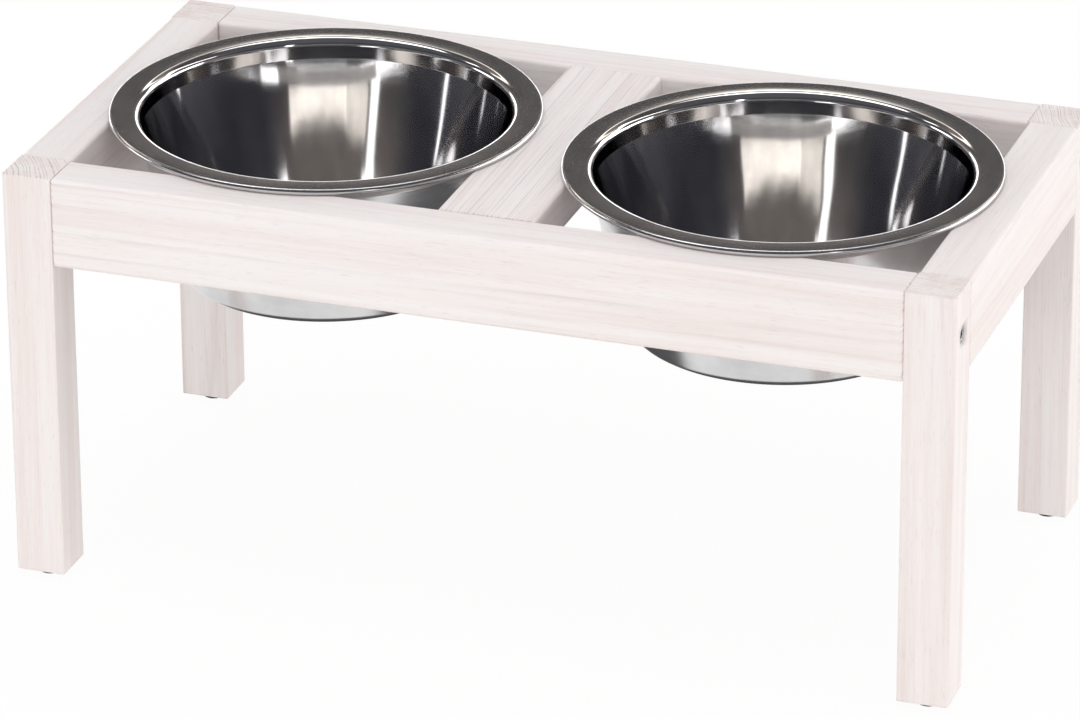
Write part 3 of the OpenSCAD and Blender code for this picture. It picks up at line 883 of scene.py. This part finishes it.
# Light of one soft panel of the room: one in the directions that it covers, by azimuth and elevation, with
# edges that fade over a degree or so.
soft_panel, given, made = new_group(
    "soft_panel",
    {"Direction": "Vector", "Azimuth": "Float", "Elevation": "Float", "Half Width": "Float",
     "Half Height": "Float"},
    {"Light": "Float"})
tree = soft_panel
parts = add_node(tree, "ShaderNodeSeparateXYZ", {"Vector": given["Direction"]}).outputs
azimuth = figure(tree, "ARCTAN2", parts["X"], figure(tree, "MULTIPLY", parts["Y"], -1.0))
aside = figure(tree, "SUBTRACT", azimuth, given["Azimuth"])
aside = figure(tree, "ABSOLUTE", figure(tree, "WRAP", aside, math.pi, -math.pi))
upward = figure(tree, "SUBTRACT", figure(tree, "ARCSINE", parts["Z"]), given["Elevation"])
upward = figure(tree, "ABSOLUTE", upward)
half_edge = math.radians(0.7)
across = figure(tree, "SUBTRACT", given["Half Width"], aside)
across = eased(tree, across, -half_edge, half_edge)
upright = figure(tree, "SUBTRACT", given["Half Height"], upward)
upright = eased(tree, upright, -half_edge, half_edge)
tree.links.new(figure(tree, "MULTIPLY", across, upright), made["Light"])

world = bpy.data.worlds.new("studio_room")
bpy.context.scene.world = world
world.use_nodes = True
tree = world.node_tree
direction = add_node(tree, "ShaderNodeTexCoord").outputs["Generated"]
axes = add_node(tree, "ShaderNodeSeparateXYZ", {"Vector": direction}).outputs


def wall_tones(tree, height, tones):
    """Colour of a wall of the room by the height of a direction, from level at 0 to straight up at 1."""
    ramp = add_node(tree, "ShaderNodeValToRGB", {"Fac": height})
    stops = ramp.color_ramp.elements
    stops[0].position = 0.0
    stops[0].color = paint(tones[0.0])
    stops[1].position = 1.0
    stops[1].color = paint(tones[1.0])
    for position, code in tones.items():
        if 0.0 < position < 1.0:
            stops.new(position).color = paint(code)
    return ramp.outputs["Color"]


front_tones = {0.0: "8A898A", 0.17: "6C6C6F", 0.31: "58585E", 0.41: "404147", 0.50: "48494F", 0.62: "5C5D61",
               1.0: "606164"}
back_tones = {0.0: "F2F0EE", 0.05: "D2CDC9", 0.10: "AFA9A5", 0.21: "96908C", 0.31: "787371", 0.40: "5A5857",
              0.45: "605E5D", 0.51: "807975", 0.58: "8C8580", 0.71: "4C4B4B", 1.0: "6A6A6C"}
toward_back = eased(tree, axes["Y"], low=-0.3, high=0.5)
room = mingled(tree, toward_back, wall_tones(tree, axes["Z"], front_tones),
               wall_tones(tree, axes["Z"], back_tones))
cream_white = (1.0, 0.95, 0.86)
plain_white = (1.0, 1.0, 1.0)
panels = {
    "overhead": {"azimuth": -148, "elevation": 61.6, "half": (42, 7.6), "radiance": 3.3},
    "behind": {"azimuth": -148, "elevation": 29.9, "half": (36, 1.7), "radiance": 2.2, "tint": cream_white},
    "behind_middle": {"azimuth": 163, "elevation": 30.2, "half": (14, 1.9), "radiance": 1.5,
                      "tint": cream_white},
    "upper_right": {"azimuth": 125, "elevation": 36.1, "half": (26, 1.6), "radiance": 3.6},
    "upper_left": {"azimuth": -94, "elevation": 35.4, "half": (7, 1.6), "radiance": 3.6},
    "behind_right": {"azimuth": 140, "elevation": 24, "half": (5.5, 13), "radiance": 2.5},
    "low_right": {"azimuth": 121, "elevation": 2, "half": (20, 11.2), "radiance": 4.4},
    "corner_right": {"azimuth": 150, "elevation": 15, "half": (9, 8), "radiance": 3.0},
    "low_behind": {"azimuth": -170, "elevation": 9, "half": (45, 3.2), "radiance": 3.7},
    "low_left": {"azimuth": -91, "elevation": 6.5, "half": (10, 4), "radiance": 4.4},
    "front_right": {"azimuth": 43, "elevation": 10, "half": (2.2, 13), "radiance": 3.0},
}
mirrored_room = room
for panel in panels.values():
    half_width, half_height = map(math.radians, panel["half"])
    cover = add_node(tree, "ShaderNodeGroup",
                     {"Direction": direction, "Azimuth": math.radians(panel["azimuth"]),
                      "Elevation": math.radians(panel["elevation"]), "Half Width": half_width,
                      "Half Height": half_height}, node_tree=soft_panel).outputs["Light"]
    glow = Vector(panel.get("tint", plain_white)) * panel["radiance"]
    mirrored_room = arrow(tree, "MULTIPLY_ADD", cover, glow, mirrored_room)
dome = eased(tree, axes["Z"], low=0.2, high=0.55, out_low=1.15, out_high=0.46)
rays = add_node(tree, "ShaderNodeLightPath").outputs
light = mingled(tree, rays["Is Glossy Ray"], dome, mirrored_room)
light = mingled(tree, rays["Is Camera Ray"], light, even_white)
tree.links.new(light, tree.nodes["Background"].inputs["Color"])
soft_boxes = {
    "front_fill": {"azimuth": -16, "elevation": 8, "distance": 2.6, "size": (3.0, 0.7), "watts": 10},
    "right_fill": {"azimuth": 92, "elevation": 8, "distance": 2.4, "size": (1.8, 0.7), "watts": 11},
    "top_fill": {"azimuth": 20, "elevation": 78, "distance": 2.2, "size": (1.6, 1.6), "watts": 17},
}
soft_box_target = Vector((0, 0, 0.2))
for name, box in soft_boxes.items():
    lamp = bpy.data.lights.new(name, "AREA")
    lamp.shape = "RECTANGLE"
    lamp.size, lamp.size_y = box["size"]
    lamp.energy = box["watts"]
    soft_box = bpy.data.objects.new(name, lamp)
    bpy.context.scene.collection.objects.link(soft_box)
    around = math.radians(box["azimuth"])
    up = math.radians(box["elevation"])
    way = Vector((math.sin(around) * math.cos(up), -math.cos(around) * math.cos(up), math.sin(up)))
    soft_box.location = soft_box_target + way * box["distance"]
    soft_box.rotation_euler = way.to_track_quat("Z", "Y").to_euler()
    soft_box.visible_camera = False
    soft_box.visible_glossy = False


# Camera: a long lens from the front right, looking down a little, as in the photograph. Its place and turn
# were fitted to the corners of the frame and the rims of the bowls.
image_width = 1080
focal_pixels = 6500
sensor = 36.0
camera_yaw = math.radians(19.093)
camera_pitch = math.radians(24.255)
camera_roll = math.radians(-0.262)
camera_place = Vector((1.0573, -3.0762, 1.5761))
lens = bpy.data.cameras.new("studio_camera")
lens.sensor_fit = "HORIZONTAL"
lens.sensor_width = sensor
lens.lens = focal_pixels * sensor / image_width
camera = bpy.data.objects.new("studio_camera", lens)
bpy.context.scene.collection.objects.link(camera)
aim = Matrix.Rotation(camera_yaw, 4, "Z") @ Matrix.Rotation(math.pi / 2 - camera_pitch, 4, "X")
camera.matrix_world = Matrix.Translation(camera_place) @ aim @ Matrix.Rotation(camera_roll, 4, "Z")
bpy.context.scene.camera = camera
bpy.context.scene.view_settings.view_transform = "Standard"
